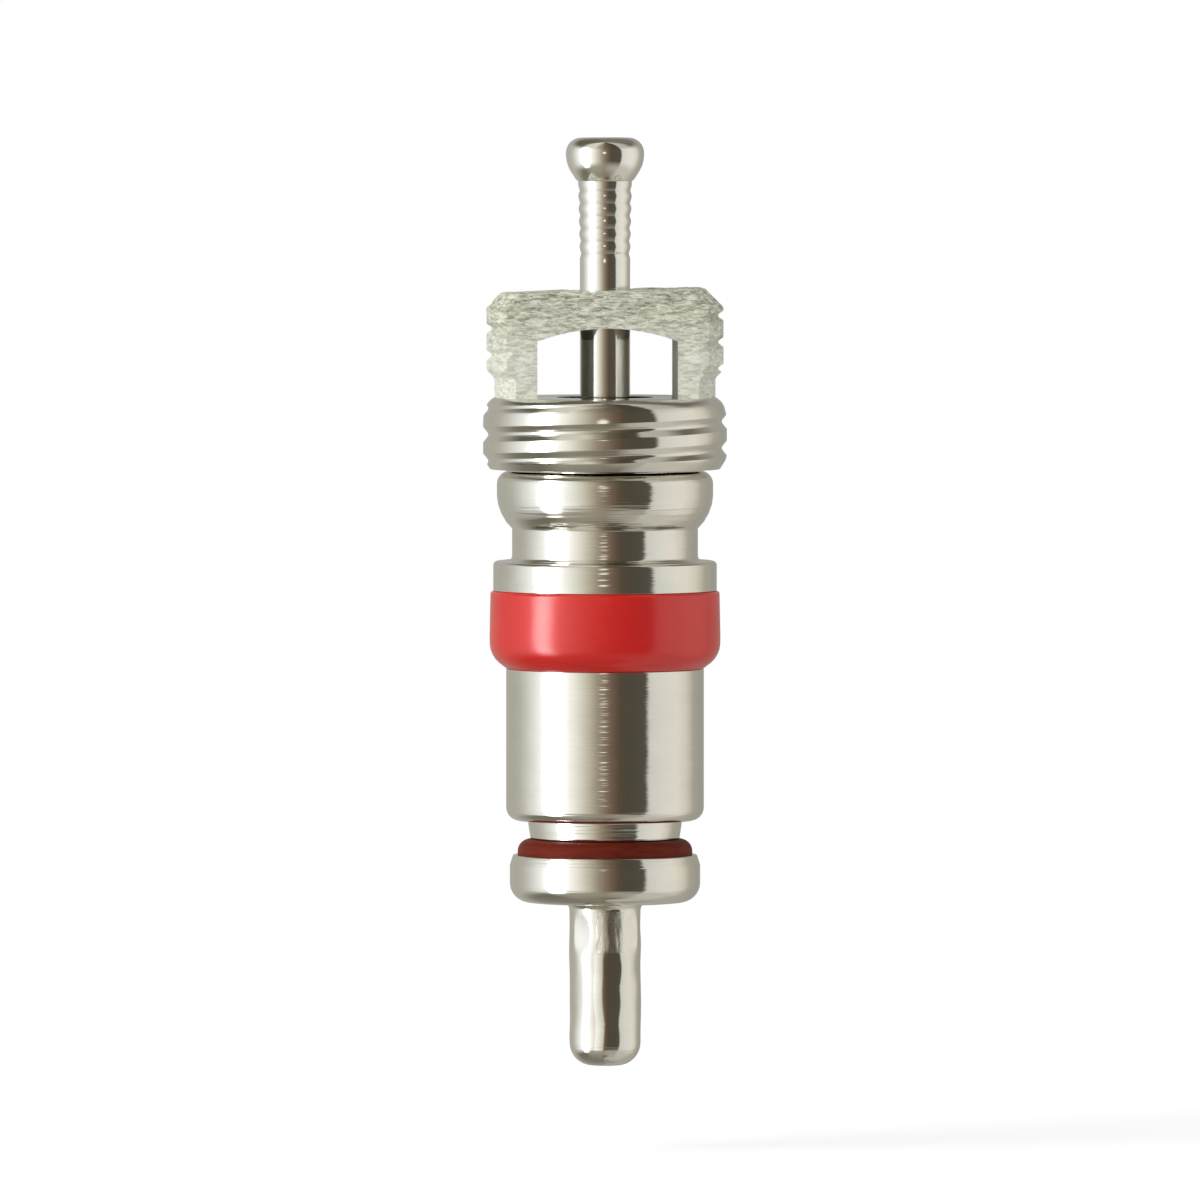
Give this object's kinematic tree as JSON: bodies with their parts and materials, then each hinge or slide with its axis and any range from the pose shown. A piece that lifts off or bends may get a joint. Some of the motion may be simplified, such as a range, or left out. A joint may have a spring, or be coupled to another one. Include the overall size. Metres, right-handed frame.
{
  "type": "tyre valve core",
  "caption": "Short tyre valve core: threaded yoke plug on a swivelling plated barrel with a red gasket, and a sprung pin whose rubber-faced cup shuts the seat until it is pressed.",
  "frame": {"origin": "on the axis, at the middle of the threaded ring", "axes": "+Z along the axis towards the pin's head, X along the yoke's crossbar, the yoke's window open along Y"},
  "size_m": [0.0052, 0.0052, 0.0202],
  "materials": {
    "plug_plate": "nickel plate, bright on the thread and matt on the milled yoke",
    "barrel_plate": "bright nickel plate over fine turning marks",
    "red_gasket": "red PTFE, semi-gloss",
    "pin_plate": "bright nickel plate",
    "spring_wire": "drawn stainless wire",
    "collar_brass": "plain turned brass",
    "washer_rubber": "dark red rubber, matt",
    "cup_plate": "bright nickel plate with crimp marks on the tail"
  },
  "bodies": {
    "plug": {"screw_plug": "plug_plate"},
    "barrel": {"barrel": "barrel_plate", "barrel_gasket": "red_gasket", "return_spring": "spring_wire"},
    "pin": {"valve_pin": "pin_plate", "spring_collar": "collar_brass", "seat_washer": "washer_rubber", "seat_cup": "cup_plate"}
  },
  "joints": [
    {"name": "barrel_swivel", "type": "hinge", "parent": "plug", "child": "barrel", "pos_m": [0, 0, -0.00136], "axis": [0, 0, 1], "continuous": true},
    {"name": "pin_slide", "type": "slide", "parent": "barrel", "child": "pin", "axis": [0, 0, -1], "range_m": [0, 0.0018], "stiffness_N_per_m": 1400, "deforming": ["return_spring"]}
  ]
}
